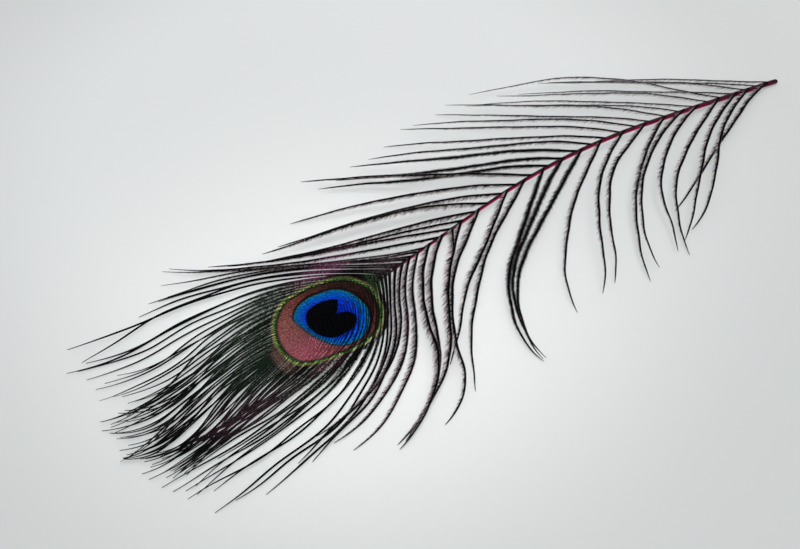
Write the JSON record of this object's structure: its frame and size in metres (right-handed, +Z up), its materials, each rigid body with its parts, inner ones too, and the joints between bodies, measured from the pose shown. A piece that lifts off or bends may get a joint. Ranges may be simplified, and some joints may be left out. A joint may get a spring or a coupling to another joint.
{
  "type": "feather",
  "caption": "Peacock eye feather lying flat, with a dyed crimson shaft, loose dark barbs and a blue and bronze eye.",
  "frame": {"origin": "on the resting surface, under the centre of the feather's own box", "axes": "+X towards the cut quill end, +Y towards the shorter-curved side of the vane, +Z up"},
  "size_m": [0.2986, 0.1202, 0.0057],
  "materials": {
    "plumage": "satin"
  },
  "bodies": {
    "root": {"feather": "plumage"}
  },
  "joints": []
}
